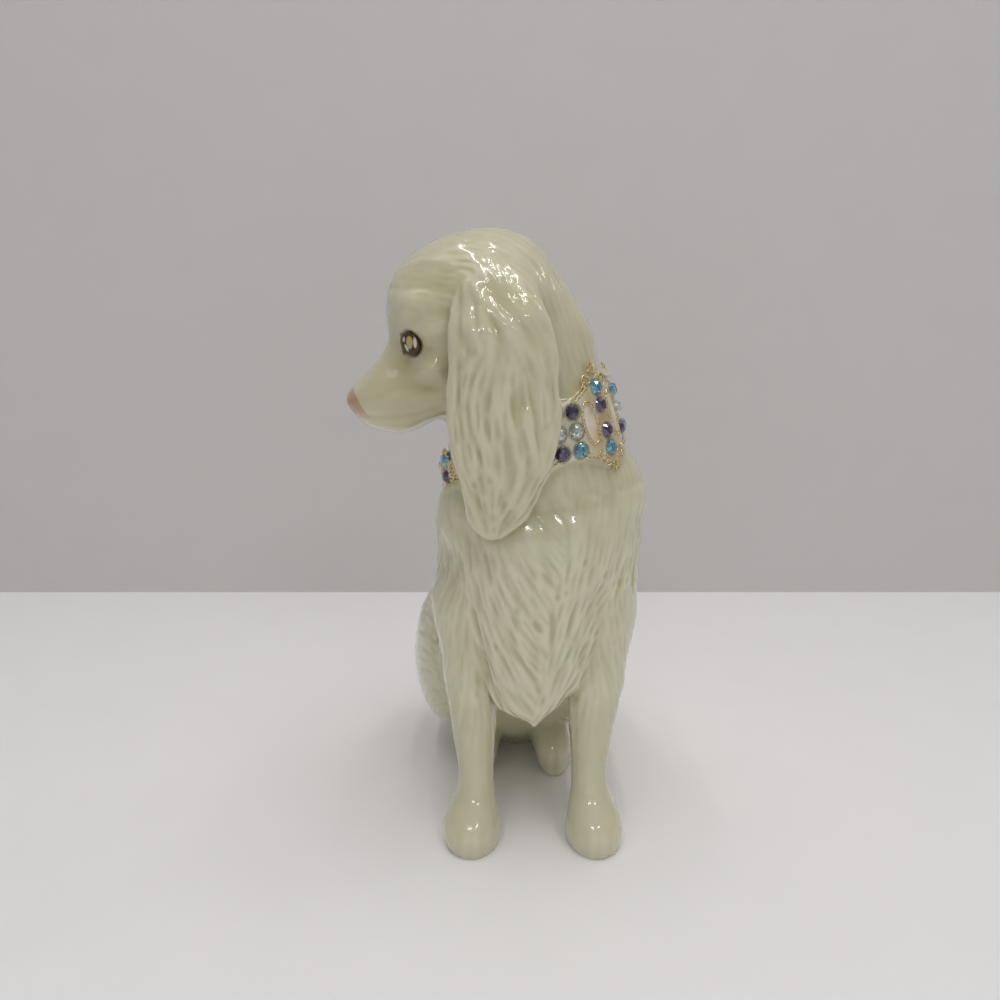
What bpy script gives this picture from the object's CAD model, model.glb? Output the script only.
import math
import random

import bmesh
import bpy
import numpy as np
from mathutils import Matrix, Vector, kdtree, noise
from mathutils.bvhtree import BVHTree


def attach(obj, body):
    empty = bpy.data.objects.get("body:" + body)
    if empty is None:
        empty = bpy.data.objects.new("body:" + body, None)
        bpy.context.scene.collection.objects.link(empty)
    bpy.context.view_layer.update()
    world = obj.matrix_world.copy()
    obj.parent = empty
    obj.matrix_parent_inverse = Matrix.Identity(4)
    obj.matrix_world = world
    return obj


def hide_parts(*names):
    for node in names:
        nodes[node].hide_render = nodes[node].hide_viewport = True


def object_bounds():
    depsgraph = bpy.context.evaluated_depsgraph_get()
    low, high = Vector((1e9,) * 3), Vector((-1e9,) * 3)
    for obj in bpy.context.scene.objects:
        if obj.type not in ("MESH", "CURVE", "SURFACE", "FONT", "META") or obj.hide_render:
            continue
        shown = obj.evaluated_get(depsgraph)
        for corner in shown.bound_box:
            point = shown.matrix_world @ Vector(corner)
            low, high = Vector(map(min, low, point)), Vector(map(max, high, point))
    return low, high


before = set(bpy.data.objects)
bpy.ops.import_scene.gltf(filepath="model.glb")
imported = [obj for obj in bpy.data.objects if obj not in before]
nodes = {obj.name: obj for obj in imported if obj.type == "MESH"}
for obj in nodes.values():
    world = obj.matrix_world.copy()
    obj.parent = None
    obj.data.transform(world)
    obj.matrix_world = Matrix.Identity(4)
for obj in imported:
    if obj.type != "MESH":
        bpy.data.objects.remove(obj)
cad_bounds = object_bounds()

# The modeller's own millimetres: the dog's left is +X, its breast -Y, its head looks to -X.
# MOVE takes them to the frame, HEAD_Y is the middle of the head, and GRAIN is the skin's cell.
MOVE = np.array((7.207, -6.683, 0.0))
HEAD_Y = -16.5
GRAIN = 0.40
NECK_FOOT, NECK_LEAN = np.array((1.6, -12.0, 76.0)), np.array((-5.1, -4.5, 28.0))
EYES, EARS = ("left_eye", "right_eye"), ("left_ear", "right_ear")
FORELEGS, THIGHS = ("left_foreleg", "right_foreleg"), ("left_thigh", "right_thigh")
HIND_PAWS = ("left_hind_paw", "right_hind_paw")
CASTINGS = ["trunk", "head", "nose", *EARS, *FORELEGS, *THIGHS, *HIND_PAWS, "tail", "collar_band"]
PART = {name: number for number, name in enumerate(CASTINGS)}
STONES = sorted(name for name in nodes if "_stone_" in name)
chance = random.Random(7)


def to_metres(points):
    """Modeller's millimetres to the frame's metres."""
    return (np.asarray(points, float) + MOVE) / 1000.0


def to_mm(points):
    """Frame's metres to the modeller's millimetres."""
    return np.asarray(points, float) * 1000.0 - MOVE


def mesh_points(mesh):
    """A mesh's points in the modeller's millimetres."""
    flat = np.empty(len(mesh.vertices) * 3, np.float32)
    mesh.vertices.foreach_get("co", flat)
    return to_mm(flat.reshape(-1, 3))


def mesh_faces(mesh, corners):
    """A mesh's faces as rows of point numbers."""
    flat = np.empty(len(mesh.loops), np.int32)
    mesh.loops.foreach_get("vertex_index", flat)
    return flat.reshape(-1, corners)


def node_points(name):
    """Points of a CAD node in the modeller's millimetres."""
    return mesh_points(nodes[name].data)


def sides_of(quads):
    """The four sides of each face, as pairs of points."""
    return np.concatenate([quads[:, (a, (a + 1) % 4)] for a in range(4)])


def unit(vectors):
    """Rows of an array at length 1."""
    return vectors / np.maximum(np.linalg.norm(vectors, axis=1), 1e-9)[:, None]


def ease(low, high, value):
    """0 below low, 1 above high, and a soft step between."""
    t = np.clip((value - low) / (high - low), 0.0, 1.0)
    return t * t * (3.0 - 2.0 * t)


def basis(axis):
    """Two directions across an axis, the second as upright as it can be."""
    axis = np.asarray(axis, float) / np.linalg.norm(axis)
    across = np.cross((0.0, 0.0, 1.0), axis)
    across /= np.linalg.norm(across)
    return across, np.cross(axis, across), axis


# Camera
CAMERA_PLACE, CAMERA_PITCH = (-7.1, -172.6, 106.0), 78.0
SENSOR_WIDTH = 36.0
FOCAL_PIXELS, PICTURE_PIXELS = 755.0, 1000.0


def add_camera():
    """The photograph's point of view."""
    pitch = math.radians(CAMERA_PITCH)
    bpy.ops.object.camera_add(location=to_metres(CAMERA_PLACE), rotation=(pitch, 0, 0))
    camera = bpy.context.object
    camera.data.sensor_width = SENSOR_WIDTH
    camera.data.lens = SENSOR_WIDTH * FOCAL_PIXELS / PICTURE_PIXELS
    camera.data.clip_start = 0.01
    bpy.context.scene.camera = camera


add_camera()


# One skin over all the castings, with plugs that stop the stone pits and the vent
PIT_PLUG_SINK, PIT_PLUG_SIZE = 0.4, (1.9, 1.05)
VENT_PLUG_PLACE, VENT_PLUG_SIZE = (-3.0, 24.0, 2.4), (3.6, 6.0)
FLAT_BACK = 0.02


def stone_frame(name):
    """Centre of a stone's flat back and the way it faces, in millimetres."""
    points = node_points(name)
    centre = points.mean(0)
    axis = np.linalg.svd(points - centre, full_matrices=False)[2][2]
    if axis @ (centre - NECK_FOOT - NECK_LEAN / 2.0) < 0:
        axis = -axis
    heights = (points - centre) @ axis
    back = points[heights < heights.min() + FLAT_BACK].mean(0)
    return back, axis


def cylinder_into(bm, start, axis, radius, height):
    """A plain plug in a mesh under work."""
    turn = Vector((0, 0, 1)).rotation_difference(Vector(axis)).to_matrix().to_4x4()
    middle = np.asarray(start) + np.asarray(axis) * height / 2.0
    bmesh.ops.create_cone(
        bm, cap_ends=True, segments=24, radius1=radius / 1000.0, radius2=radius / 1000.0,
        depth=height / 1000.0, matrix=Matrix.Translation(to_metres(middle)) @ turn,
    )


def make_skin():
    """Fine even skin over the joined castings."""
    bm = bmesh.new()
    for name in [*CASTINGS, *EYES]:
        bm.from_mesh(nodes[name].data)
    for name in STONES:
        back, axis = stone_frame(name)
        cylinder_into(bm, back - axis * PIT_PLUG_SINK, axis, *PIT_PLUG_SIZE)
    cylinder_into(bm, VENT_PLUG_PLACE, (0, 0, 1), *VENT_PLUG_SIZE)
    mesh = bpy.data.meshes.new("skin")
    bm.to_mesh(mesh)
    bm.free()
    skin = bpy.data.objects.new("skin", mesh)
    bpy.context.collection.objects.link(skin)
    bpy.ops.object.select_all(action="DESELECT")
    skin.select_set(True)
    bpy.context.view_layer.objects.active = skin
    mesh.remesh_voxel_size = GRAIN / 1000.0
    mesh.remesh_voxel_adaptivity = 0.0
    mesh.use_remesh_fix_poles = False
    mesh.use_remesh_preserve_volume = False
    bpy.ops.object.voxel_remesh()
    return skin


class Skin:
    """The skin's points, faces and neighbours as arrays."""

    def __init__(self, mesh):
        self.points = mesh_points(mesh)
        self.quads = mesh_faces(mesh, 4)
        self.tidy()

    def tidy(self):
        """Keep the outer skin alone, and number its points afresh."""
        pairs = sides_of(self.quads)
        group = np.arange(len(self.points))
        while True:
            least = group.copy()
            np.minimum.at(least, pairs[:, 0], group[pairs[:, 1]])
            np.minimum.at(least, pairs[:, 1], group[pairs[:, 0]])
            least = least[least]
            if (least == group).all():
                break
            group = least
        kept = group == np.bincount(group).argmax()
        fresh = np.cumsum(kept) - 1
        self.quads = fresh[self.quads[kept[self.quads[:, 0]]]]
        self.points = self.points[kept]
        self.edges = np.unique(np.sort(sides_of(self.quads), axis=1), axis=0)
        self.degree = np.bincount(self.edges.ravel(), minlength=len(self.points)).astype(float)

    def mean(self, values):
        """Mean of each point's neighbours."""
        count = len(self.points)
        first, second = self.edges[:, 0], self.edges[:, 1]
        if values.ndim == 1:
            total = np.bincount(first, values[second], count) + np.bincount(second, values[first], count)
            return total / self.degree
        return np.stack([self.mean(values[:, k]) for k in range(values.shape[1])], 1)

    def spread(self, values, rounds):
        """Values blurred over the skin."""
        for _ in range(rounds):
            values = values + 0.5 * (self.mean(values) - values)
        return values

    def relax(self, rounds):
        """Soften the skin without shrinking it: each pull inwards is followed by one outwards."""
        for _ in range(rounds):
            for pull in (0.5, -0.53):
                self.points = self.points + pull * (self.mean(self.points) - self.points)

    def melt(self, rounds, mask):
        """Soften the skin where a mask says, so that joins run together."""
        inside = np.flatnonzero(mask > 0.002)
        number = np.full(len(self.points), -1)
        number[inside] = np.arange(len(inside))
        pairs = np.concatenate([self.edges, self.edges[:, ::-1]])
        pairs = pairs[number[pairs[:, 0]] >= 0]
        first, second = number[pairs[:, 0]], pairs[:, 1]
        degree, pull = self.degree[inside][:, None], 0.5 * mask[inside][:, None]
        for _ in range(rounds):
            near = self.points[second]
            total = np.stack([np.bincount(first, near[:, k], len(inside)) for k in range(3)], 1)
            self.points[inside] += pull * (total / degree - self.points[inside])

    def normals(self):
        """Outward directions at the points."""
        corner = self.points[self.quads]
        across = np.cross(corner[:, 2] - corner[:, 0], corner[:, 3] - corner[:, 1])
        out = np.zeros_like(self.points)
        for a in range(4):
            for k in range(3):
                out[:, k] += np.bincount(self.quads[:, a], across[:, k], len(out))
        return unit(out)

    def push(self, heights):
        """Move the points along their normals."""
        self.points = self.points + self.normals() * heights[:, None]


def label_points(skin):
    """How far each point of the skin belongs to each casting. The eyes count as head."""
    corners, faces, owner = [], [], []
    start = 0
    for name in [*CASTINGS, *EYES]:
        corners.append(node_points(name))
        faces.append(mesh_faces(nodes[name].data, 3) + start)
        owner.append(np.full(len(faces[-1]), PART.get(name, PART["head"])))
        start += len(corners[-1])
    owner = np.concatenate(owner)
    tree = BVHTree.FromPolygons(np.concatenate(corners).tolist(), np.concatenate(faces).tolist())
    found = [tree.find_nearest(p)[2] for p in skin.points.tolist()]
    label = owner[np.array(found)]
    share = (label[:, None] == np.arange(len(CASTINGS))[None, :]).astype(float)
    return skin.spread(share, 8)


skin_object = make_skin()
skin = Skin(skin_object.data)
bpy.data.objects.remove(skin_object)
share = label_points(skin)
label = share.argmax(1)


def on(*names):
    """How far each point belongs to the named castings, from 0 to 1."""
    return sum(share[:, PART[name]] for name in names)


# Softened joins and modelled features
def meeting(first, second, reach):
    """How close each point is to the seam between two castings."""
    a, b = on(first), on(second)
    return np.clip(4.0 * skin.spread(a, reach) * skin.spread(b, reach), 0, 1)


def hill(centre, spread):
    """Soft round hill of height 1 on the skin, with its own spread on each axis."""
    away = (skin.points - np.asarray(centre, float)) / np.asarray(spread, float)
    return np.exp(-0.5 * (away * away).sum(1))


def each_side(centre, spread):
    """A hill and its mirror image across the middle of the head."""
    return hill(centre, spread) + hill((centre[0], 2.0 * HEAD_Y - centre[1], centre[2]), spread)


def soften_joins():
    """Run the castings together where the glazed figure shows no edge between them."""
    x, y, z = skin.points.T
    head = on("head", "nose")
    crown = ease(108.0, 117.0, z) * on("head", *EARS)
    skin.melt(260, crown)
    muzzle_root = hill((-22.0, HEAD_Y, 99.5), (6.0, 12.0, 5.5)) * head
    skin.melt(260, np.clip(1.4 * muzzle_root, 0, 1))
    nape = ease(-2.0, 5.0, x) * ease(94.0, 102.0, z) * head
    skin.melt(120, nape)
    shoulder = ease(9.0, 14.0, np.abs(x)) * ease(32.0, 46.0, z) * ease(74.0, 66.0, z)
    skin.melt(420, shoulder * on("trunk", *FORELEGS))
    for thigh in THIGHS:
        skin.melt(150, meeting("trunk", thigh, 60))
    skin.melt(80, meeting("trunk", "head", 40))
    joins = 1.0 - (share ** 2).sum(1)
    joins = np.clip(skin.spread((joins > 0.2).astype(float), 5) * 1.6, 0, 1)
    crisp = np.clip(skin.spread(on(*EARS, "collar_band"), 3), 0, 1) * (z < 113)
    skin.melt(24, joins * (1.0 - crisp))
    skin.relax(4)


# Hills and hollows pushed out of the skin: height, centre and spread on each axis
MIDDLE_OF_FACE = {
    "forehead": (1.5, (-25.0, HEAD_Y, 119.0), (6.0, 9.0, 6.0)),
    "brow": (0.7, (-28.0, HEAD_Y, 114.0), (4.0, 8.0, 4.0)),
    "crown": (0.9, (-4.0, HEAD_Y, 127.0), (8.0, 8.0, 3.5)),
    "back of the skull": (-0.8, (6.0, HEAD_Y, 121.0), (5.0, 9.0, 5.0)),
    "bridge of the nose": (1.0, (-28.6, HEAD_Y, 104.0), (2.6, 4.0, 3.2)),
}
SIDES_OF_FACE = {
    "brow ridge": (1.5, (-23.0, -27.0, 112.0), (3.0, 3.2, 2.1)),
    "above the ridge": (-0.3, (-20.5, -28.2, 116.0), (3.6, 3.0, 1.8)),
    "lid": (1.1, (-20.0, -28.8, 108.0), (2.4, 3.0, 1.4)),
    "cheek": (2.5, (-20.0, -29.2, 100.9), (2.4, 3.2, 1.9)),
    "hollow by the ear": (-1.4, (-15.0, -31.2, 104.5), (2.0, 3.0, 3.6)),
    "hollow of the eye": (-1.1, (-25.0, -25.8, 105.2), (3.0, 3.0, 2.4)),
    "hollow below the eye": (-1.1, (-27.0, -25.6, 101.4), (2.4, 3.0, 1.7)),
    "crease of the cheek": (-0.7, (-21.5, -28.5, 97.6), (3.2, 3.0, 1.0)),
    "flews": (0.6, (-30.0, -23.5, 94.8), (3.2, 3.0, 2.2)),
}
NOSTRILS = {"nostril": (-0.30, (-36.6, -18.7, 95.0), (0.9, 0.9, 0.8))}
THROAT = {"throat": (-1.0, (-19.5, -16.0, 87.0), (4.0, 8.0, 4.0))}
SHOULDERS = {
    "left shoulder": (2.3, (22.0, -16.0, 77.0), (5.0, 10.0, 5.0)),
    "right shoulder": (2.0, (-19.0, -16.0, 71.0), (5.0, 10.0, 5.0)),
}
LEGS = {
    "left elbow": (0.9, (21.0, -18.0, 43.0), (3.5, 9.0, 5.0)),
    "left shank": (-1.3, (20.5, -20.0, 24.0), (3.0, 9.0, 8.0)),
    "right shank": (-1.4, (-20.5, -20.0, 27.0), (3.0, 9.0, 7.0)),
}
BIB_CORNER, BIB_CORNER_SPREAD, BIB_CORNER_DROP = (-6.5, -26.0, 33.0), (4.0, 8.0, 3.5), (0.0, 0.0, -2.6)
EAR_TIP_OFFSET, EAR_TIP_SPREAD, EAR_TIP_DROP = (-1.5, 0.0, 1.0), (6.0, 5.0, 5.0), (-0.9, 0.0, -1.5)
LIP_HEIGHT, LIP_CURVE, LIP_TURN, LIP_WIDTH, LIP_DEPTH = 91.0, 0.022, -28.0, 0.7, 0.22


def raise_hills(form, table, shape):
    """Add the hills of a table to the heights of the skin."""
    for height, centre, spread in table.values():
        form += height * shape(centre, spread)


def model_face():
    """Brow, cheek, eye hollow, lips and nose bridge, the same on both sides."""
    x, y, z = skin.points.T
    form = np.zeros(len(skin.points))
    raise_hills(form, MIDDLE_OF_FACE, hill)
    raise_hills(form, SIDES_OF_FACE, each_side)
    lip = LIP_HEIGHT + LIP_CURVE * np.maximum(x - LIP_TURN, 0.0) ** 2
    mouth = np.exp(-(((z - lip) / LIP_WIDTH) ** 2)) * ease(-37.0, -34.5, x) * ease(-16.5, -22.0, x)
    form -= LIP_DEPTH * mouth * ease(2.0, 4.5, np.abs(y - HEAD_Y))
    raise_hills(form, NOSTRILS, each_side)
    raise_hills(form, THROAT, hill)
    skin.push(form * on("head", "nose"))


def model_body():
    """Fuller shoulders beside the collar, slimmer shanks, a lower bib corner and longer ear tips."""
    for table, castings in ((SHOULDERS, ("trunk", "head")), (LEGS, ("trunk", *FORELEGS))):
        form = np.zeros(len(skin.points))
        raise_hills(form, table, hill)
        skin.push(form * on(*castings))
    corner = hill(BIB_CORNER, BIB_CORNER_SPREAD) * on("trunk")
    skin.points += corner[:, None] * np.array(BIB_CORNER_DROP)
    skin.melt(150, on(*HIND_PAWS) * ease(0.5, 3.0, skin.points[:, 2]))
    for name in EARS:
        ear = node_points(name)
        tip = ear[ear[:, 2].argmin()]
        drop = hill(tip + EAR_TIP_OFFSET, EAR_TIP_SPREAD) * on(name)
        skin.points += drop[:, None] * np.array(EAR_TIP_DROP)


skin.relax(14)
soften_joins()
model_face()
model_body()

# Toes, three grooves down the front of each paw: its middle across, its front and its top
PAWS = {
    "left_foreleg": (13.2, -33.0, 8.0), "right_foreleg": (-13.2, -33.0, 8.0),
    "left_hind_paw": (6.4, -2.5, 9.0), "right_hind_paw": (-12.4, -2.5, 9.0),
}
TOE_PITCH, TOE_WIDTH, TOE_DEPTH, TOE_SPLAY = 2.6, 0.75, 0.08, 0.02


def cut_toes():
    """Grooves that splay a little towards the front."""
    toes = np.zeros(len(skin.points))
    x, y, z = skin.points.T
    for name, (middle, front, top) in PAWS.items():
        reach = ease(front + 8.0, front + 2.0, y)
        for step in (-TOE_PITCH, 0.0, TOE_PITCH):
            line = middle + step * (1.0 + TOE_SPLAY * (y - front))
            groove = np.exp(-(((x - line) / TOE_WIDTH) ** 2)) * reach * ease(top, top - 4, z)
            toes -= TOE_DEPTH * groove * on(name)
    skin.push(toes)
    skin.relax(2)


cut_toes()


# Hair. Locks of an ear from root to tip, as shares of its width from the front and its drop from the top
LOCK_SWING, LOCK_REACH, LOCK_WIDTH = 0.5, 2.6, 1.5
EAR_LOCKS = [
    ((0.04, 0.13), (0.01, 0.31), (0.01, 0.43), (0.03, 0.57), (0.10, 0.72), (0.15, 0.88), (0.25, 0.97)),
    ((0.17, 0.11), (0.19, 0.26), (0.26, 0.34), (0.17, 0.42), (0.14, 0.53), (0.17, 0.65), (0.25, 0.76)),
    ((0.31, 0.20), (0.36, 0.31), (0.33, 0.38), (0.27, 0.47), (0.27, 0.57), (0.33, 0.68), (0.33, 0.80),
     (0.37, 0.90)),
    ((0.49, 0.47), (0.43, 0.54), (0.43, 0.63), (0.47, 0.74), (0.45, 0.82), (0.43, 0.91)),
    ((0.55, 0.47), (0.59, 0.55), (0.61, 0.65), (0.65, 0.75), (0.59, 0.84), (0.53, 0.93)),
    ((0.69, 0.55), (0.72, 0.64), (0.81, 0.70), (0.83, 0.77)),
    ((0.37, 0.13), (0.49, 0.21), (0.63, 0.29), (0.75, 0.37), (0.79, 0.46), (0.81, 0.57)),
    ((0.65, 0.10), (0.81, 0.18), (0.96, 0.26), (0.99, 0.40), (0.99, 0.55), (0.93, 0.71), (0.81, 0.81),
     (0.67, 0.92)),
]


def ear_locks(name):
    """The way the locks of an ear run near each point, and how high they stand there."""
    ear = node_points(name)
    low, high = ear.min(0), ear.max(0)
    x, _, z = skin.points.T
    flow, height = np.zeros_like(skin.points), np.zeros(len(x))
    flow[:, 2] = -0.02
    for lock in EAR_LOCKS:
        mean = sum(u for u, _ in lock) / len(lock)
        swing = LOCK_SWING * (0.1 < mean < 0.75)
        line = []
        for u, v in lock:
            across = low[0] + (u + swing * (u - mean)) * (high[0] - low[0])
            line.append((across, high[2] - v * (high[2] - low[2])))
        for (ax, az), (bx, bz) in zip(line, line[1:]):
            run = math.hypot(bx - ax, bz - az)
            along = np.clip(((x - ax) * (bx - ax) + (z - az) * (bz - az)) / run ** 2, 0, 1)
            away = np.hypot(x - ax - along * (bx - ax), z - az - along * (bz - az))
            weight = np.exp(-((away / LOCK_REACH) ** 2))
            flow += weight[:, None] * np.array(((bx - ax) / run, 0.0, (bz - az) / run))
            height = np.maximum(height, np.exp(-((away / LOCK_WIDTH) ** 2)))
    return flow, height


def columns(*values):
    """Numbers or arrays side by side, with a row for each point of the skin."""
    return np.stack([np.broadcast_to(value, len(skin.points)) for value in values], 1)


def hair_flow():
    """The way the hair lies at each point of the skin, and the skin's normals."""
    x, y, z = skin.points.T
    n = skin.normals()
    off = x - (-0.7 + 0.159 * (z - 27.2))
    left_lean = 15.0 + 28.0 * np.exp(off / 10.0)
    right_lean = 12.0 + 36.0 * ease(1.0, 14.0, off) * ease(74.0, 48.0, z)
    lean = np.radians(np.where(off < 0, left_lean, right_lean))
    breast = columns(-np.sign(off) * np.sin(lean), 0.0, -np.cos(lean))
    flank = columns(0.22 * np.sin(z / 4.5 + y / 6.0), 0.55 + 0.25 * np.sin(z / 6.0 + x / 5.0), -1.0)
    front = ease(-0.05, 0.55, -n[:, 1])[:, None]
    outwards = 0.25 * np.sign(y - HEAD_Y) * ease(2, 8, np.abs(y - HEAD_Y))
    crown = columns(1.0, outwards, -0.25)
    nape = columns(0.25, 0.2 * np.sin(z / 5.0), -1.0)
    behind = ease(-6.0, 6.0, x)[:, None]
    swirl = columns(0.0, -(z - 27.0) * 0.05, (y - 14.0) * 0.05)
    flows = {name: ear_locks(name)[0] for name in EARS}
    flows["trunk"] = unit(breast) * front + unit(flank) * (1.0 - front)
    flows["head"] = flows["nose"] = unit(crown) * (1 - behind) + unit(nape) * behind
    flows.update(dict.fromkeys(FORELEGS, columns(0.12 * np.sin(z / 5.0), 0.30, -1.0)))
    flows.update(dict.fromkeys(THIGHS, -swirl * 0.9 + columns(0.0, 0.55, -0.75)))
    flows.update(dict.fromkeys(HIND_PAWS, columns(0.0, -1.0, -0.3)))
    flows["tail"] = columns(0.4 * np.sin(y / 2.5), 1.0, -0.4)
    flows["collar_band"] = columns(0.0, 0.0, -1.0)
    total = sum(unit(flows[name]) * share[:, PART[name]][:, None] for name in CASTINGS)
    total = skin.spread(total, 12)
    total = total - n * (total * n).sum(1)[:, None]
    return unit(total), n


def belly():
    """How far each point lies in the shaded hollow between the legs."""
    x, y, z = skin.points.T
    between = ease(-17.0, -12.0, y) * ease(22.0, 14.0, y) * ease(38.0, 31.0, z)
    return between * ease(17.0, 11.0, np.abs(x + 1.5))


def hair_depth():
    """How deep the hair is cut at each point, 1 for full depth."""
    x, y, z = skin.points.T
    n = skin.normals()
    front = ease(0.0, 0.5, -n[:, 1])
    breast = 1.0 - 0.8 * front * ease(60.0, 69.0, z)
    depth = on("trunk") * (0.66 + 0.34 * front) * breast * (1.0 - belly())
    depth += on(*EARS) * (0.20 + 0.65 * ease(106.0, 93.0, z))
    depth += on(*THIGHS) * 0.40 + on("tail") * 0.75
    depth += on(*FORELEGS) * (0.42 * ease(16, 34, z) + 0.03)
    depth += on(*HIND_PAWS) * 0.06
    temple = each_side((-15.5, -31.0, 113.5), (3.5, 4.0, 4.5))
    brow = each_side((-22.0, -28.0, 113.5), (3.5, 4.0, 2.2))
    skull = 0.06 + 0.24 * ease(-5.0, 6.0, x) + 0.18 * ease(111, 119, z)
    depth += on("head") * (skull + 0.25 * temple + 0.25 * brow)
    depth *= ease(0.0, 0.5, z) * ease(-0.999, -0.9, n[:, 2])
    clear = 1.0 - np.clip(skin.spread((label == PART["collar_band"]).astype(float), 10), 0, 1)
    return depth * clear


def lay_strokes(spacing, shortest, longest, step, depth, flow, normal, tree):
    """Evenly spaced hair strokes of uneven length that follow the flow."""
    points = [Vector(p) for p in skin.points.tolist()]
    flow = [Vector(f) for f in flow.tolist()]
    normal = [Vector(n) for n in normal.tolist()]
    allowed = (depth > 0.03).tolist()
    closed = bytearray(len(points))
    taken = bytearray(len(points))
    order = [i for i in range(len(points)) if allowed[i]]
    chance.shuffle(order)
    strokes = []
    for seed in order:
        if closed[seed]:
            continue
        halves = []
        reach = chance.uniform(shortest, longest) / 2.0
        for way in (-step, step):
            at, v, gone, path = points[seed].copy(), seed, 0.0, []
            while gone < reach:
                at = at + flow[v] * way
                near, v, _ = tree.find(at)
                at = at - normal[v] * (at - near).dot(normal[v])
                if taken[v] or not allowed[v]:
                    break
                path.append(at)
                gone += step
            halves.append(path)
        line = halves[0][::-1] + [points[seed]] + halves[1]
        if len(line) * step < shortest * 0.5:
            closed[seed] = 1
            continue
        strokes.append(line)
        for at in line:
            for _, v, away in tree.find_range(at, spacing):
                closed[v] = 1
                if away < 0.6 * spacing:
                    taken[v] = 1
    return strokes


def stamp(strokes, width):
    """How much each point lies in a stroke: 1 on its line, fading to its sides and ends."""
    total = sum(len(line) for line in strokes)
    tree = kdtree.KDTree(total)
    taper = np.empty(total)
    number = 0
    for line in strokes:
        strength = chance.uniform(0.6, 1.0)
        last = max(len(line) - 1, 1)
        for place, at in enumerate(line):
            tree.insert(at, number)
            taper[number] = strength * math.sin(math.pi * min(max(place / last, 0.02), 0.98)) ** 0.6
            number += 1
    tree.balance()
    found = [tree.find(p) for p in skin.points.tolist()]
    near = np.array([hit[1] for hit in found])
    away = np.array([hit[2] for hit in found])
    return taper[near] * np.exp(-((away / width) ** 2))


# Strokes: spacing, shortest and longest length, step along, then half width of the cut
BROAD_STROKES, BROAD_WIDTH = (3.2, 8.0, 24.0, 0.5), 0.80
FINE_STROKES, FINE_WIDTH = (1.3, 3.5, 8.0, 0.4), 0.40
TUFT_CELL, TUFT_HEIGHT = (3.2, 3.2, 7.5), 0.50
LUMP_CELL, LUMP_HEIGHT, LUMP_SLANT = (4.0, 8.0, 6.0), 0.80, (0.87, 0.5)
LOCK_HEIGHT = 0.50


def noise_field(places, cell):
    """Smooth noise at each place, with its own cell size on each axis."""
    wide, deep, tall = cell
    return np.array([noise.noise((a / wide, b / deep, c / tall)) for a, b, c in places.tolist()])


def carve_hair():
    """Tufts and lumps, the ears' locks, and broad and fine strokes along the flow."""
    flow, normal = hair_flow()
    depth = hair_depth()
    tree = kdtree.KDTree(len(skin.points))
    for number, p in enumerate(skin.points.tolist()):
        tree.insert(p, number)
    tree.balance()
    x, y, z = skin.points.T
    ears = on(*EARS)
    tufts = noise_field(skin.points, TUFT_CELL)
    locks = ear_locks("left_ear")[1] * ears
    cosine, sine = LUMP_SLANT
    slant = columns(x * cosine + z * sine, z * cosine - x * sine, y)
    breast = 0.5 * on("trunk") * ease(58.0, 67.0, z)
    lumps = noise_field(slant, LUMP_CELL) * (ears + breast)
    broad = lay_strokes(*BROAD_STROKES, depth, flow, normal, tree)
    fine = lay_strokes(*FINE_STROKES, depth, flow, normal, tree)
    broad_cut = stamp(broad, BROAD_WIDTH) * (0.46 - 0.14 * ears)
    fine_cut = stamp(fine, FINE_WIDTH) * (0.32 + 0.14 * ears)
    relief = TUFT_HEIGHT * tufts - broad_cut - fine_cut
    soft_form = LOCK_HEIGHT * locks + LUMP_HEIGHT * lumps
    skin.push(relief * depth + soft_form * ease(121.0, 113.0, z))
    skin.relax(1)


carve_hair()

# Glaze depth: pool in the cuts of the hair, dip in the broad hollows
hollow = skin.spread(skin.points, 16)
pool = ((hollow - skin.points) * skin.normals()).sum(1)
pool = skin.spread(pool, 1)
hollow = skin.spread(hollow, 150)
dip = np.clip((((hollow - skin.points) * skin.normals()).sum(1) + 0.1) / 0.7, 0, 1) * (1.0 - belly())

# Stay inside the CAD box, flat on the table
low = to_mm(cad_bounds[0])
high = to_mm(cad_bounds[1])
skin.points = np.clip(skin.points, low, high)
skin.points[:, 2] = np.where(skin.points[:, 2] < 0.25, 0.0, skin.points[:, 2])


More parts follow.
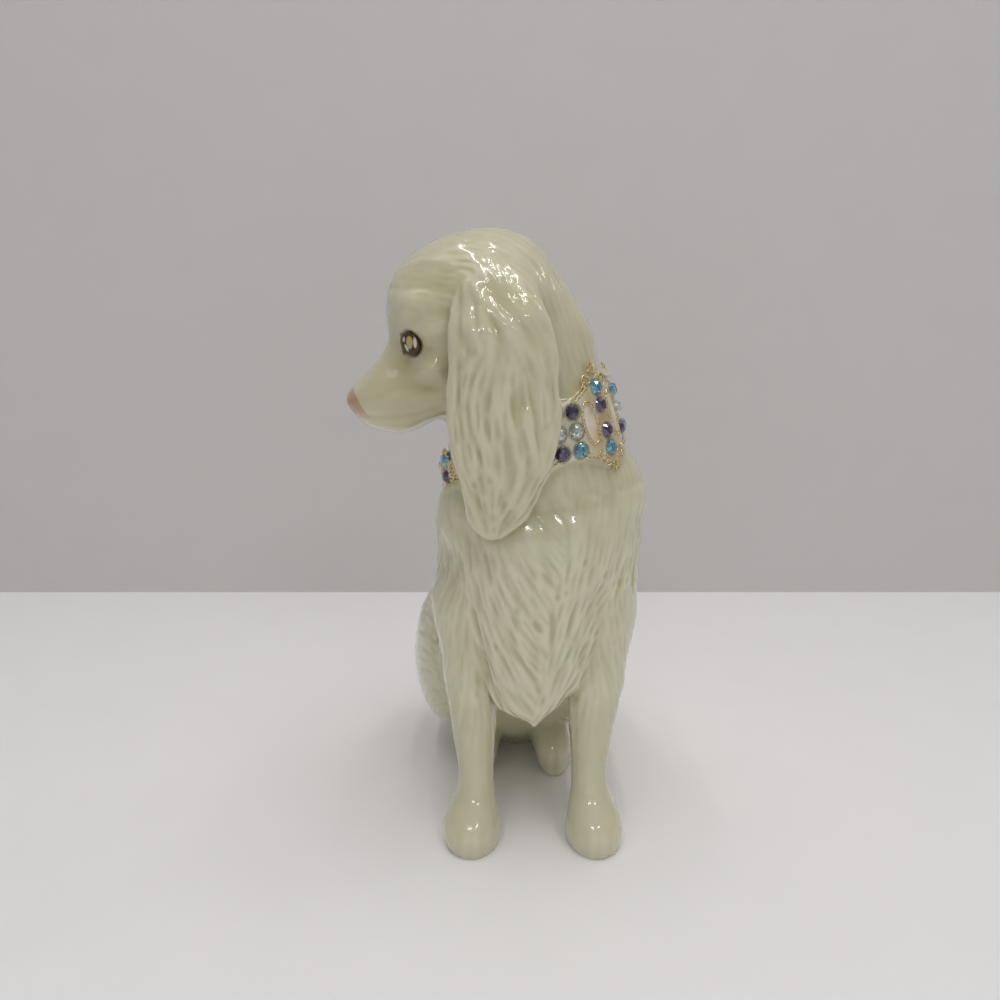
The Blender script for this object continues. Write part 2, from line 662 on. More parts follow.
# Materials
class Graph:
    """Short words for a material's nodes."""

    def __init__(self, name):
        self.material = bpy.data.materials.new(name)
        self.material.use_nodes = True
        self.tree = self.material.node_tree
        self.shader = self.tree.nodes["Principled BSDF"]

    def feed(self, socket, value):
        """Give a socket a number, a colour or another node's output."""
        if isinstance(value, (int, float)):
            socket.default_value = value
        elif isinstance(value, tuple):
            socket.default_value = (*value, 1.0)
        else:
            self.tree.links.new(value, socket)

    def add(self, kind, inputs, **settings):
        """A node with its settings, and its inputs by name or number."""
        node = self.tree.nodes.new("ShaderNode" + kind)
        for key, value in settings.items():
            setattr(node, key, value)
        for key, value in inputs.items():
            self.feed(node.inputs[key], value)
        return node

    def value(self, name):
        """A named value stored on the piece."""
        return self.add("Attribute", {}, attribute_name=name).outputs["Fac"]

    def noise(self, scale, detail):
        """Cloudy noise over the piece."""
        place = self.add("TexCoord", {}).outputs["Object"]
        return self.add("TexNoise", {"Vector": place, "Scale": scale, "Detail": detail}).outputs["Fac"]

    def fit(self, source, low, high, to_low=0.0, to_high=1.0):
        """A value drawn from one range into another, and held there."""
        ends = {"Value": source, "From Min": low, "From Max": high, "To Min": to_low, "To Max": to_high}
        return self.add("MapRange", ends).outputs["Result"]

    def mottle(self, scale, detail, *ranges):
        """Noise drawn from one range into another."""
        return self.fit(self.noise(scale, detail), *ranges)

    def mix(self, share, first, second):
        """Two colours mixed by a share."""
        return self.add("Mix", {0: share, 6: first, 7: second}, data_type="RGBA").outputs[2]

    def bump(self, height, strength, distance):
        """Fine unevenness of the surface."""
        sizes = {"Height": height, "Strength": strength, "Distance": distance}
        return self.add("Bump", sizes).outputs["Normal"]

    def surface(self, **inputs):
        """The finished material, from its shader's inputs."""
        for key, value in inputs.items():
            self.feed(self.shader.inputs[key.replace("_", " ")], value)
        return self.material


# Glaze and paint colours
IVORY, POOLED, HOLLOW = (0.71, 0.675, 0.48), (0.44, 0.425, 0.245), (0.50, 0.45, 0.24)
CLOUD, SHADED, PANE = (0.735, 0.675, 0.515), (0.44, 0.38, 0.19), (0.80, 0.745, 0.665)
SPECK, BLUSH, UMBER = (0.42, 0.36, 0.26), (0.45, 0.27, 0.15), (0.085, 0.050, 0.030)
GOLD_WASH = (0.52, 0.37, 0.16)


def porcelain(name):
    """Ivory porcelain under a clear glaze that pools green in the hollows."""
    graph = Graph(name)
    body = graph.mix(graph.fit(graph.value("pool"), -0.10, 0.15), IVORY, POOLED)
    body = graph.mix(graph.fit(graph.value("dip"), 0, 1, 0.0, 0.65), body, HOLLOW)
    body = graph.mix(graph.mottle(70.0, 2.0, 0.35, 0.7, 0.0, 0.30), body, CLOUD)
    body = graph.mix(graph.fit(graph.value("shade"), 0, 1, 0.0, 0.75), body, SHADED)
    body = graph.mix(graph.value("pane"), body, PANE)
    body = graph.mix(graph.mottle(900.0, 2.0, 0.74, 0.80, 0.0, 0.10), body, SPECK)
    body = graph.mix(graph.value("blush"), body, BLUSH)
    body = graph.mix(graph.value("umber"), body, UMBER)
    worn = graph.mottle(420.0, 4.0, 0.32, 0.66, 0.25, 0.95)
    wash = graph.add("Math", {0: graph.value("gild"), 1: worn}, operation="MULTIPLY").outputs[0]
    return graph.surface(
        Base_Color=graph.mix(wash, body, GOLD_WASH), IOR=1.52, Coat_Weight=0.8, Coat_Roughness=0.04,
        Roughness=graph.mottle(260.0, 3.0, 0.3, 0.7, 0.10, 0.20),
        Normal=graph.bump(graph.noise(420.0, 2.0), 0.16, 0.0006),
    )


ivory_glaze = porcelain("ivory_glaze")
nose_enamel = porcelain("nose_enamel")

# The collar's lines: band thickness, heights of its edges at throat and nape, and its columns
BAND = 0.9
LOW_EDGE, HIGH_EDGE = (0.3, 6.4), (7.0, 31.5)
THROAT_X, EDGE_RUN = -18.4, 40.0
COLUMN_STEP = 30.0
CREST_TURNS = [-160.0 + 2 * COLUMN_STEP * k for k in range(6)]
CLUSTER_TURNS = [crest + COLUMN_STEP for crest in CREST_TURNS]
SCALLOP_WIDTH_SHARE, SCALLOP_DEPTH_SHARE = 0.85, 0.17
WINDOW_NEAR, WINDOW_FAR = 6.8, 18.0
WINDOW_CORNERS = ((-1, 0.34), (-1, 0.62), (-0.1, 0.74), (1, 0.68), (1, 0.40), (0.2, 0.25))
NECK_HALF_WIDTH, NECK_HALF_DEPTH, WIDTH_TAPER, DEPTH_TAPER = 20.0, 16.5, 4.0, 3.0


def neck_oval(rise, growth):
    """Half width and half depth of the neck's oval at a share of its rise."""
    return NECK_HALF_WIDTH - WIDTH_TAPER * rise + growth, NECK_HALF_DEPTH - DEPTH_TAPER * rise + growth


def neck_point(turn, rise, growth):
    """A place on the neck at an angle round it and a share of its rise."""
    wide, deep = neck_oval(rise, growth)
    angle = math.radians(turn)
    return NECK_FOOT + rise * NECK_LEAN + np.array((wide * math.cos(angle), deep * math.sin(angle), 0.0))


def edge_rise(turn, edge):
    """Share of the neck's rise at which a sloping edge of the band crosses, at an angle round it."""
    off, (throat, nape) = [], edge
    for rise in (0.0, 1.0):
        spot = neck_point(turn, rise, BAND)
        slope = (spot[0] - THROAT_X) * (nape - throat) / EDGE_RUN
        off.append(spot[2] - NECK_FOOT[2] - throat - slope)
    return off[0] / (off[0] - off[1])


def band_line(turn):
    """Foot of the band at an angle, the way up its slope, its width and its outward direction."""
    low_rise = edge_rise(turn, LOW_EDGE)
    foot = neck_point(turn, low_rise, BAND)
    top = neck_point(turn, edge_rise(turn, HIGH_EDGE), BAND)
    width = np.linalg.norm(top - foot)
    wide, deep = neck_oval(low_rise, BAND)
    angle = math.radians(turn)
    out = np.cross((-wide * math.sin(angle), deep * math.cos(angle), 0.0), top - foot)
    return foot, (top - foot) / width, width, out / np.linalg.norm(out)


def band_spot(turn, height, lift):
    """A place on the band, by height up its slope and lift off its face, and its outward direction."""
    foot, upwards, _, out = band_line(turn)
    return foot + upwards * height + out * lift, out


def arc_angle(turn, length):
    """Angle that a length along the band takes up near its top edge."""
    wide, deep = neck_oval(edge_rise(turn, HIGH_EDGE), BAND)
    angle = math.radians(turn)
    return math.degrees(length / math.hypot(wide * math.sin(angle), deep * math.cos(angle)))


def window_corners(crest, way):
    """The six corners of a window beside a crest, as angles and heights."""
    half = (WINDOW_FAR - WINDOW_NEAR) / 2.0
    middle = crest + way * (WINDOW_NEAR + WINDOW_FAR) / 2.0
    width = band_line(middle)[2]
    return [(middle + way * a * half, b * width) for a, b in WINDOW_CORNERS]


def edge_height(turn, top, inset):
    """Height of the band's scalloped top or low edge at an angle, drawn in by an inset."""
    cluster = min(CLUSTER_TURNS, key=lambda t: abs(math.remainder(turn - t, 360.0)))
    width = band_line(turn)[2]
    bite = SCALLOP_DEPTH_SHARE * band_line(cluster)[2]
    half = SCALLOP_WIDTH_SHARE * COLUMN_STEP / arc_angle(cluster, 1.0)
    radius = (half * half + bite * bite) / (2.0 * bite)
    along = math.remainder(turn - cluster, 360.0) / arc_angle(cluster, 1.0)
    drawn = 0.0
    if abs(along) < half:
        drawn = math.sqrt(radius * radius - along * along) - (radius - bite)
    return width - drawn - inset if top else drawn + inset


# Paint on the skin, as a share from 0 to 1 at each point
SKULL_HALF, EYE_AIM = np.array((19.0, 15.5, 17.3)), np.array((-0.750, 0.600, -0.277))
EYE_CENTRE = np.array((-24.25, 9.3, 105.2))
EYE_RING, EYE_CORNER, CORNER_POWER, EYE_PAINT_DEPTH = (2.9, 2.5), (3.25, 2.2), 6, 3.5
SEAT_OUTER, SEAT_INNER, SEAT_DEPTH = 1.98, 1.72, 2.0
PANE_OFF, PANE_HALF_ANGLE, PANE_HALF_HEIGHT = 12.4, 4.8, 0.20


def eye_axes(side):
    """Directions across, up and out of an eye: side is -1 for the left eye and 1 for the right."""
    return basis(EYE_AIM * (1.0, side, 1.0) / SKULL_HALF)


def eye_surround():
    """Brown round both eyes, squared off towards the nose."""
    painted = np.zeros(len(skin.points))
    for side in (-1.0, 1.0):
        across, upwards, out = eye_axes(side)
        away = skin.points - (EYE_CENTRE * (1.0, side, 1.0) + (0.0, HEAD_Y, 0.0))
        ahead, above = side * (away @ across), away @ upwards
        ring = np.hypot(ahead / EYE_RING[0], above / EYE_RING[1])
        long, tall = np.clip(ahead / EYE_CORNER[0], 0.0, None), np.abs((above + 0.1) / EYE_CORNER[1])
        corner = (long ** CORNER_POWER + tall ** CORNER_POWER) ** (1 / CORNER_POWER)
        brown = np.maximum(ease(1.20, 1.0, ring), ease(1.10, 0.95, corner) * (ahead > 0.0))
        painted = np.maximum(painted, brown * (np.abs(away @ out) < EYE_PAINT_DEPTH))
    return painted


def stone_seats():
    """Dark rings round the stones."""
    seat = np.zeros(len(skin.points))
    for name in STONES:
        back, axis = stone_frame(name)
        away = skin.points - back
        height = away @ axis
        across = np.linalg.norm(away - height[:, None] * axis, axis=1)
        seat = np.maximum(seat, ease(SEAT_OUTER, SEAT_INNER, across) * (np.abs(height) < SEAT_DEPTH))
    return seat


def turned_from(turn, other):
    """Angle from one place round the neck to another, between -180 and 180."""
    return (turn - other + 180.0) % 360.0 - 180.0


def collar_paint():
    """Gold wash round the crests, and the pale panes in the windows."""
    x, y, z = skin.points.T
    on_band = label == PART["collar_band"]
    rise = (z - NECK_FOOT[2]) / NECK_LEAN[2]
    wide, deep = neck_oval(rise, BAND)
    across = (x - NECK_FOOT[0] - NECK_LEAN[0] * rise) / wide
    behind = (y - NECK_FOOT[1] - NECK_LEAN[1] * rise) / deep
    turn = np.degrees(np.arctan2(behind, across))
    crest_off = np.min([np.abs(turned_from(turn, crest)) for crest in CREST_TURNS], axis=0)
    gild = ease(18.0, 8.0, crest_off) * np.clip(skin.spread(on("collar_band"), 4), 0, 1) * on_band
    pane = np.zeros(len(skin.points))
    for crest in CREST_TURNS:
        for middle in (crest - PANE_OFF, crest + PANE_OFF):
            foot, top = edge_rise(middle, LOW_EDGE), edge_rise(middle, HIGH_EDGE)
            up = ((rise - foot) / (top - foot) - 0.50) / PANE_HALF_HEIGHT
            oval = np.hypot(turned_from(turn, middle) / PANE_HALF_ANGLE, up)
            pane = np.maximum(pane, ease(1.05, 0.85, oval))
    return skin.spread(gild, 3), skin.spread(pane * on_band, 1)


def shading():
    """Deeper glaze under the belly, on the head and lower face, and down the forelegs."""
    shade = 0.15 * belly() + 0.30 * on("head", "nose", *EARS)
    shade += 0.55 * each_side((-22.0, -27.0, 97.0), (9.0, 6.0, 8.0)) * on("head")
    shade += 0.25 * on(*FORELEGS) * ease(40.0, 25.0, skin.points[:, 2])
    return shade


seats = stone_seats()
gold, panes = collar_paint()
PAINTS = {
    "pool": pool,
    "dip": dip,
    "blush": 0.92 * ease(0.30, 0.62, on("nose")) * ease(90.2, 91.8, skin.points[:, 2]),
    "gild": gold * (1.0 - seats),
    "umber": np.maximum(0.95 * eye_surround(), 0.7 * seats),
    "shade": shading(),
    "pane": panes,
}


# Finished pieces
def new_piece(name, points, faces, material, replaced, smooth=True):
    """A piece at the frame's origin, in place of a CAD node."""
    mesh = bpy.data.meshes.new(name)
    mesh.from_pydata(to_metres(points).tolist(), [], faces)
    mesh.update()
    for polygon in mesh.polygons:
        polygon.use_smooth = smooth
    mesh.materials.append(material)
    piece = bpy.data.objects.new(name, mesh)
    bpy.context.collection.objects.link(piece)
    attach(piece, "root")
    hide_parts(replaced)
    return piece


def store(piece, name, values, domain="POINT"):
    """A named value on each point or face of a piece."""
    attribute = piece.data.attributes.new(name, "FLOAT", domain)
    attribute.data.foreach_set("value", np.asarray(values, np.float32))


# The castings cut out of the skin
SEAM_SINK = 1.5


def cut_piece(name, normal, face_label):
    """One closed casting from its share of the skin, with a fan across each seam."""
    faces = skin.quads[face_label == PART[name]]
    used, flat = np.unique(faces, return_inverse=True)
    faces = flat.reshape(-1, 4)
    pairs = sides_of(faces)
    _, inverse, count = np.unique(np.sort(pairs, axis=1), axis=0, return_inverse=True, return_counts=True)
    rim = pairs[count[inverse.ravel()] == 1]
    after = {}
    for a, b in rim.tolist():
        after.setdefault(b, []).append(a)
    points = skin.points[used].tolist()
    normals = normal[used].tolist()
    polygons = faces.tolist()
    fans = []
    while after:
        start = next(iter(after))
        loop, at = [start], start
        while True:
            choices = after[at]
            following = choices.pop()
            if not choices:
                del after[at]
            if following == start:
                break
            loop.append(following)
            at = following
        outward = np.array([normals[v] for v in loop]).mean(0)
        centre = np.array([points[v] for v in loop]).mean(0) - outward * SEAM_SINK
        hub = len(points)
        points.append(centre.tolist())
        for a, b in zip(loop, loop[1:] + loop[:1]):
            fans.append((a, b, hub))
    look, slot = (nose_enamel, "nose_enamel") if name == "nose" else (ivory_glaze, "ivory_glaze")
    piece = new_piece(name + "_casting", points, polygons + fans, look, name)
    for paint, values in PAINTS.items():
        stored = np.zeros(len(points))
        stored[: len(used)] = values[used]
        store(piece, paint, stored)
    mesh = piece.data
    loop_normals = np.empty((len(mesh.loops), 3))
    loop_normals[: 4 * len(polygons)] = np.asarray(normals)[faces.ravel()]
    if fans:
        flat_normals = np.array([mesh.polygons[len(polygons) + k].normal for k in range(len(fans))])
        loop_normals[4 * len(polygons):] = np.repeat(flat_normals, 3, axis=0)
    mesh.normals_split_custom_set(loop_normals.tolist())


skin_normals = skin.normals()
quad_label = share[skin.quads].sum(1).argmax(1)
for name in CASTINGS:
    cut_piece(name, skin_normals, quad_label)


# Stones: radius and height of each ring of corners, and how bright each facet is
BACK_RING, GIRDLE_RING, KITE_RING, TABLE_RING = (1.60, 0.0), (1.65, 0.40), (1.30, 0.95), (0.92, 1.42)
GEM_TOP = 1.50
TABLE_GLINTS = (0.95, 0.15, 0.55, 0.05, 0.8, 0.25, 0.45, 0.1)


def gem_look(name, deep, bright):
    """Foiled glass: each facet its own depth of colour under a clear polish."""
    graph = Graph(name)
    glint = graph.value("glint")
    fire = tuple(min(1.0, c * 1.5) for c in bright)
    colour = graph.mix(glint, deep, bright)
    colour = graph.mix(graph.mottle(1500.0, 1.0, 0.35, 0.65, 0.0, 0.35), colour, fire)
    return graph.surface(
        Base_Color=colour, Metallic=graph.fit(glint, 0, 1, 0.35, 0.75),
        Roughness=0.06, IOR=1.6, Coat_Weight=1.0, Coat_Roughness=0.02,
    )


GLASS = {
    "blue": gem_look("blue_glass", (0.01, 0.07, 0.12), (0.22, 0.54, 0.70)),
    "violet": gem_look("violet_glass", (0.010, 0.008, 0.016), (0.13, 0.09, 0.20)),
    "clear": gem_look("clear_glass", (0.11, 0.16, 0.14), (0.88, 0.98, 0.90)),
}


def gem_shape():
    """One round stone: points in millimetres, faces, and each face's glint."""
    points, faces, glints = [], [], []

    def ring(count, size, turn):
        radius, height = size
        start = len(points)
        for k in range(count):
            angle = 2 * math.pi * (k + turn) / count
            points.append((radius * math.cos(angle), radius * math.sin(angle), height))
        return start

    def facet(glint, *corners):
        faces.append(corners)
        glints.append(glint)

    back = ring(16, BACK_RING, 0.0)
    girdle = ring(16, GIRDLE_RING, 0.0)
    kite = ring(8, KITE_RING, 0.5)
    table = ring(8, TABLE_RING, 0.0)
    heart, under = len(points), len(points) + 1
    points.extend([(0, 0, GEM_TOP), (0, 0, 0.0)])
    for k in range(16):
        after = (k + 1) % 16
        facet(0.05, back + k, back + after, girdle + after, girdle + k)
        facet(0.0, back + after, back + k, under)
    for k in range(8):
        after = (k + 1) % 8
        a, b, c = girdle + 2 * k, girdle + (2 * k + 1) % 16, girdle + (2 * k + 2) % 16
        facet(0.15 + 0.5 * (k % 2), a, b, kite + k)
        facet(0.75 - 0.5 * (k % 3 == 0), b, c, kite + k)
        facet(0.35, a, kite + k, table + k)
        facet(0.6, kite + k, c, table + after)
        facet(0.9 if k % 2 else 0.2, kite + k, table + after, table + k)
        facet(TABLE_GLINTS[k], table + k, table + after, heart)
    return np.array(points), faces, glints


gem_points, gem_faces, gem_glints = gem_shape()
for name in STONES:
    back, axis = stone_frame(name)
    spin = chance.uniform(0, math.pi)
    u, v, height = gem_points.T
    turned = np.stack([
        u * math.cos(spin) - v * math.sin(spin), u * math.sin(spin) + v * math.cos(spin), height,
    ], 1)
    placed = back + turned @ np.stack(basis(axis))
    kind = name.split("_")[0]
    gem = new_piece(name + "_gem", placed, gem_faces, GLASS[kind], name, smooth=False)
    store(gem, "glint", gem_glints, "FACE")


# Gilding: radius of each kind of line, length of a bead, and steps along the lines
ROPE_RADIUS, RIBBON_RADIUS, CURL_LINE_RADIUS, LEAF_RADIUS = 0.29, 0.20, 0.24, 0.36
BEAD_LENGTH, BEAD_STEP, LINE_STEP, LEAF_STEP = 0.80, 0.14, 0.3, 0.2
LINE_LIFT, LEAF_LIFT, LINE_TAPER = 0.05, 0.02, 1.2
CURL_RADIUS, CURL_START, CURL_TURN, CURL_CLOSING = 1.5, -80.0, 400.0, 0.68
LEAF_LEANS, LEAF_ARM = (-58, -28, 0, 28, 58), 17.0
RIBBON_START, RIBBON_END, RIBBON_INSETS = 9.5, 24.0, (0.35, 1.25)
CREST_INSET, CURL_OFF, CURL_DROP = 1.0, 8.0, 1.3
TUBE_SIDES = 8
gilt_points, gilt_faces = [], []


def gild_tube(path, outs, radii, closed):
    """A round line of gilding along a path, added to the gilding's points and faces."""
    ahead = np.roll(path, -1, 0) - np.roll(path, 1, 0)
    if not closed:
        ahead[0], ahead[-1] = path[1] - path[0], path[-1] - path[-2]
    ahead = unit(ahead)
    side = unit(np.cross(outs, ahead))
    lift = np.cross(ahead, side)
    start = len(gilt_points)
    count = len(path)
    for k in range(count):
        for j in range(TUBE_SIDES):
            angle = 2 * math.pi * j / TUBE_SIDES
            around = math.cos(angle) * side[k] + math.sin(angle) * lift[k]
            gilt_points.append(path[k] + radii[k] * around)
    for k in range(count if closed else count - 1):
        here, there = start + k * TUBE_SIDES, start + ((k + 1) % count) * TUBE_SIDES
        for j in range(TUBE_SIDES):
            after = (j + 1) % TUBE_SIDES
            gilt_faces.append((here + j, here + after, there + after, there + j))
    if not closed:
        gilt_faces.append(tuple(start + j for j in reversed(range(TUBE_SIDES))))
        gilt_faces.append(tuple(start + (count - 1) * TUBE_SIDES + j for j in range(TUBE_SIDES)))


def resample(path, gap, closed, rounding):
    """A path walked at even steps, its corners rounded first."""
    path = np.asarray(path, float)
    for _ in range(rounding):
        following = np.roll(path, -1, 0)
        near, far = 0.75 * path + 0.25 * following, 0.25 * path + 0.75 * following
        fresh = np.stack([near, far], 1).reshape(-1, path.shape[1])
        path = fresh if closed else np.concatenate([path[:1], fresh[1:-2], path[-1:]])
    if closed:
        path = np.concatenate([path, path[:1]])
    gone = np.concatenate([[0.0], np.cumsum(np.linalg.norm(np.diff(path, axis=0), axis=1))])
    count = max(int(gone[-1] / gap), 4)
    at = np.linspace(0.0, gone[-1], count, endpoint=not closed)
    return np.stack([np.interp(at, gone, path[:, k]) for k in range(path.shape[1])], 1)


def band_path(places, lift, gap, closed=False, rounding=3):
    """Even steps through (angle, height) places on the band, and the outward direction at each."""
    spots, outs = zip(*[band_spot(turn, height, lift) for turn, height in places])
    both = resample(np.concatenate([np.array(spots), np.array(outs)], 1), gap, closed, rounding)
    return both[:, :3], unit(both[:, 3:])


def gild_line(places, radius):
    """A plain line of gilding on the band, thinner at its ends."""
    path, outs = band_path(places, LINE_LIFT, LINE_STEP)
    gone = np.arange(len(path)) * LINE_STEP
    radii = radius * (1.0 + 0.12 * np.sin(gone * 2.3))
    radii = radii * np.clip(np.minimum(gone, gone[-1] - gone) / LINE_TAPER + 0.35, 0, 1)
    gild_tube(path, outs, radii, False)


def gild_rope(places):
    """A closed beaded line of gilding on the band."""
    path, outs = band_path(places, LINE_LIFT, BEAD_STEP, closed=True, rounding=1)
    gone = np.arange(len(path)) * BEAD_STEP
    radii = ROPE_RADIUS * (0.72 + 0.42 * np.abs(np.sin(math.pi * gone / BEAD_LENGTH)))
    gild_tube(path, outs, radii, True)


def gild_leaf(turn, height, length, lean):
    """A small raised leaf that points along the band's slope, leaning to one side."""
    places = []
    for t in np.linspace(0, 1, 7):
        bent = math.radians(lean) * (0.6 + 0.7 * t)
        sideways = math.degrees(math.sin(bent) * t * length / LEAF_ARM)
        places.append((turn + sideways, height + math.cos(bent) * t * length))
    path, outs = band_path(places, LEAF_LIFT, LEAF_STEP)
    t = np.linspace(0, 1, len(path))
    radii = LEAF_RADIUS * np.clip(np.sin(math.pi * (0.06 + 0.90 * t)) ** 0.8, 0.1, 1)
    gild_tube(path, outs, radii, False)


def gild_curl(turn, height, way, upwards):
    """A small scroll on the shoulder of a crest."""
    places = []
    for t in np.linspace(0, 1, 15):
        angle, radius = math.radians(CURL_START + CURL_TURN * t), CURL_RADIUS * (1.0 - CURL_CLOSING * t)
        sideways = way * arc_angle(turn, radius * math.cos(angle))
        places.append((turn + sideways, height + upwards * radius * math.sin(angle)))
    gild_line(places, CURL_LINE_RADIUS)


def gild_crest(turn):
    """Leaves and scrolls above and below a pair of stones, with windows and ribbons to each side."""
    width = band_line(turn)[2]
    for upwards, foot in ((1, width - CREST_INSET), (-1, CREST_INSET)):
        for lean in LEAF_LEANS:
            gild_leaf(turn, foot, upwards * (1.5 + 0.8 * math.cos(math.radians(lean))), lean)
        for way in (-1, 1):
            gild_curl(turn + way * CURL_OFF, foot - upwards * CURL_DROP, way, upwards)
    for way in (-1, 1):
        gild_rope(window_corners(turn, way))
        ribbon = [turn + way * step for step in np.linspace(RIBBON_START, RIBBON_END, 12)]
        for top in (True, False):
            for inset in RIBBON_INSETS:
                gild_line([(t, edge_height(t, top, inset)) for t in ribbon], RIBBON_RADIUS)


for turn in CREST_TURNS:
    gild_crest(turn)


def gilt_look():
    """Fired gold, pale and a little worn."""
    graph = Graph("gilt")
    worn = graph.mottle(700.0, 4.0, 0.38, 0.66)
    return graph.surface(
        Base_Color=graph.mix(worn, (0.60, 0.46, 0.19), (0.72, 0.63, 0.42)),
        Metallic=graph.fit(worn, 0, 1, 1.0, 0.55),
        Roughness=graph.mottle(1400.0, 2.0, 0.3, 0.7, 0.18, 0.38),
        Normal=graph.bump(graph.noise(2600.0, 2.0), 0.25, 0.0002),
    )


new_piece("gilt_ropework", gilt_points, gilt_faces, gilt_look(), "gilt_lattice")


# Eyes: half sizes of the dome, and its mesh
EYE_HALF_LENGTH, EYE_HALF_HEIGHT, EYE_BULGE = 2.7, 2.3, 0.9
EYE_RINGS, EYE_SPOKES = 26, 72


def eye_look():
    """A painted eye: brown outline, amber iris with a dark slit, and touches of white."""
    graph = Graph("eye_enamel")
    mottle = graph.mottle(900.0, 3.0, 0.3, 0.7)
    outline = graph.mix(mottle, (0.050, 0.028, 0.015), (0.13, 0.078, 0.045))
    colour = graph.mix(mottle, (0.045, 0.027, 0.014), (0.085, 0.052, 0.028))
    colour = graph.mix(graph.value("iris"), colour, (0.50, 0.40, 0.13))
    colour = graph.mix(graph.value("white"), colour, (0.66, 0.62, 0.55))
    colour = graph.mix(graph.value("outline"), colour, outline)
    sheen = graph.mottle(500.0, 3.0, 0.3, 0.7, 0.05, 0.10)
    return graph.surface(Base_Color=colour, Roughness=sheen, IOR=1.5, Specular_IOR_Level=0.25)


def eye_piece(name, side, look):
    """One almond dome with its paint, where the CAD eye is."""
    points = node_points(name)
    centre = (points.min(0) + points.max(0)) / 2.0
    right, upwards, out = eye_axes(side)
    if right[0] > 0:
        right = -right
    behind, spots, faces = [0.0], [centre + out * EYE_BULGE], []
    for r in range(1, 2 * EYE_RINGS):
        angle = math.pi * r / (2 * EYE_RINGS)
        for k in range(EYE_SPOKES):
            turn = 2 * math.pi * k / EYE_SPOKES
            u, v = math.sin(angle) * math.cos(turn), math.sin(angle) * math.sin(turn)
            behind.append(float(r > EYE_RINGS))
            level = EYE_HALF_LENGTH * u * right + EYE_HALF_HEIGHT * v * upwards
            spots.append(centre + level + EYE_BULGE * math.cos(angle) * out)
    behind.append(1.0)
    spots.append(centre - out * EYE_BULGE)
    last = 1 + (2 * EYE_RINGS - 2) * EYE_SPOKES
    for k in range(EYE_SPOKES):
        after = (k + 1) % EYE_SPOKES
        faces.append((0, 1 + k, 1 + after))
        for r in range(2 * EYE_RINGS - 2):
            a, b = 1 + r * EYE_SPOKES, 1 + (r + 1) * EYE_SPOKES
            faces.append((a + k, b + k, b + after, a + after))
        faces.append((last + k, len(spots) - 1, last + after))
    if np.dot(np.cross(right, upwards), out) < 0:
        faces = [tuple(reversed(face)) for face in faces]
    piece = new_piece(name + "_enamel", spots, faces, look, name)
    away = np.array(spots) - centre
    h, v = away[:, 0] / 2.0, away[:, 2] / EYE_HALF_HEIGHT
    streak = 0.5 * (h + 0.32) - 0.86 * (v + 0.34), 0.86 * (h + 0.32) + 0.5 * (v + 0.34)
    store(piece, "iris", ease(1.15, 0.85, np.hypot((h - 0.02) / 0.33, (v - 0.10) / 0.52)))
    store(piece, "white", np.maximum.reduce([
        ease(1.15, 0.80, np.hypot((h - 0.60) / 0.19, (v - 0.12) / 0.46)),
        ease(1.15, 0.75, np.hypot((h + 0.56) / 0.13, (v - 0.38) / 0.24)),
        ease(1.15, 0.75, np.hypot(streak[0] / 0.34, streak[1] / 0.12)),
    ]))
    store(piece, "outline", np.maximum(behind, ease(0.70, 0.85, np.hypot(h / 1.02, v / 0.96))))


eye_enamel = eye_look()
for name, side in zip(EYES, (-1.0, 1.0)):
    eye_piece(name, side, eye_enamel)


# Stage
STAGE_SIDE, TABLE_FRONT, WALL_Y, WALL_TOP = 900, -700, 136, 900
STAGE_WORN = 0.985


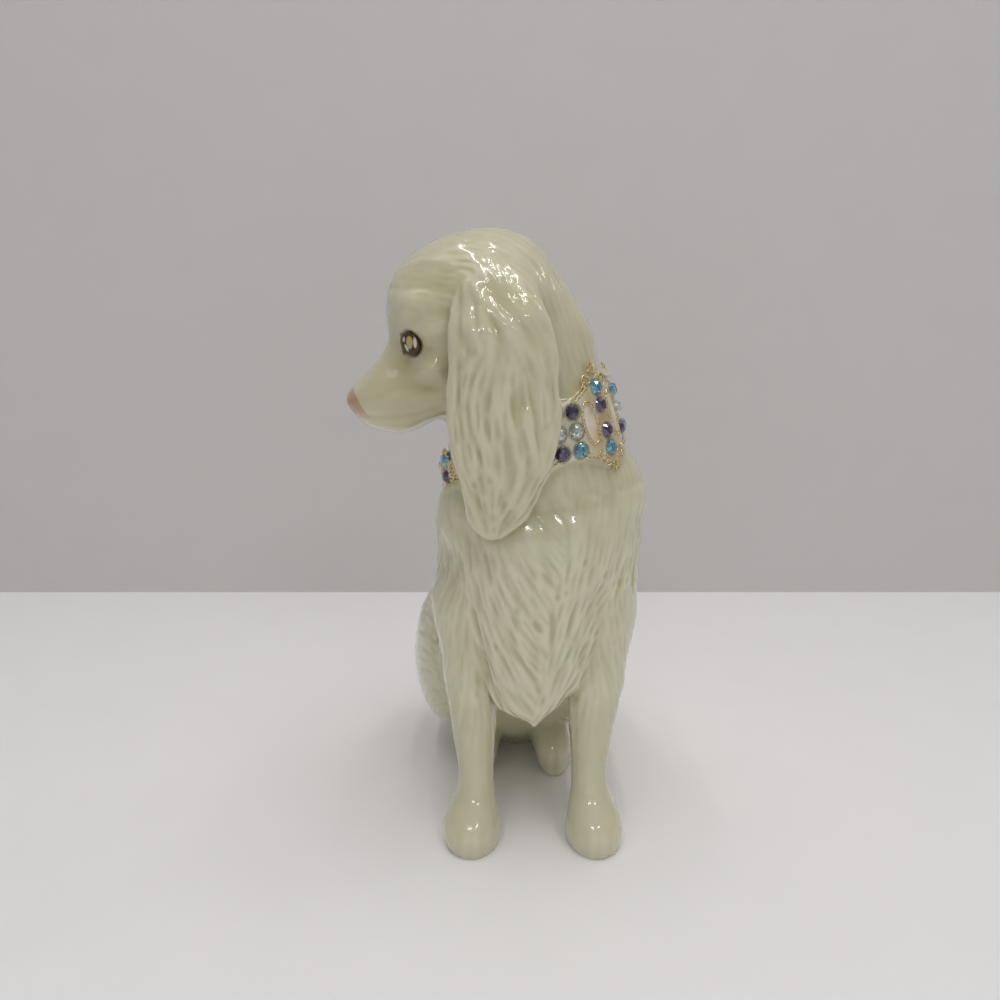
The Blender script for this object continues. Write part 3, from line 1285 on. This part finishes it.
def stage_plane(name, near, far, colour, rough):
    """A plain sheet between two level edges, each given by its depth and height."""
    corners = [(-STAGE_SIDE, *near), (STAGE_SIDE, *near), (STAGE_SIDE, *far), (-STAGE_SIDE, *far)]
    mesh = bpy.data.meshes.new(name)
    mesh.from_pydata(to_metres(corners).tolist(), [], [(0, 1, 2, 3)])
    plane = bpy.data.objects.new(name, mesh)
    bpy.context.collection.objects.link(plane)
    graph = Graph(name)
    worn = tuple(c * STAGE_WORN for c in colour)
    cloudy = graph.mix(graph.mottle(60.0, 4.0, 0.3, 0.7), colour, worn)
    mesh.materials.append(graph.surface(Base_Color=cloudy, Roughness=rough))


stage_plane("table", (TABLE_FRONT, 0), (WALL_Y, 0), (0.88, 0.862, 0.862), 0.40)
stage_plane("wall", (WALL_Y, 0), (WALL_Y, WALL_TOP), (0.69, 0.665, 0.655), 0.8)

# Lamps: name, place, target, size and power
AIM = (0, -15, 70)
LAMPS = [
    ("ceiling", (0, 400, 1300), (0, 150, 0), (1600, 1500), 6.1, (1.0, 0.99, 0.97)),
    *((f"tube_{side}", (across, 60, 1050), (across, 60, 0), (14, 1500), 2.4)
      for side, across in (("left", -240), ("middle", 40), ("right", 320))),
    ("front_tube_left", (-120, -560, 430), AIM, (150, 12), 0.18),
    ("front_tube_right", (230, -560, 480), AIM, (150, 12), 0.18),
    ("high_tube_left", (60, -250, 950), AIM, (150, 12), 0.15),
    ("high_tube_right", (330, -250, 800), AIM, (150, 12), 0.15),
    ("fill", (0, -600, 120), (0, 0, 40), (800, 220), 0.26),
    ("side_tube", (700, 150, 520), (5, -15, 85), (16, 500), 0.45),
]


def area_light(name, place, target, size, power, colour=(1, 1, 1)):
    """A flat lamp aimed at a place."""
    bpy.ops.object.light_add(type="AREA", location=to_metres(place))
    light = bpy.context.object
    light.name = name
    light.data.shape = "RECTANGLE"
    light.data.size, light.data.size_y = size[0] / 1000.0, size[1] / 1000.0
    light.data.energy = power
    light.data.color = colour
    aim = Vector(to_metres(target)) - light.location
    light.rotation_euler = aim.to_track_quat("-Z", "Y").to_euler()


for lamp in LAMPS:
    area_light(*lamp)
world = bpy.data.worlds.new("room")
world.use_nodes = True
background = world.node_tree.nodes["Background"]
background.inputs["Color"].default_value = (0.97, 0.98, 1.0, 1.0)
background.inputs["Strength"].default_value = 0.235
bpy.context.scene.world = world
bpy.context.scene.view_settings.view_transform = "Standard"
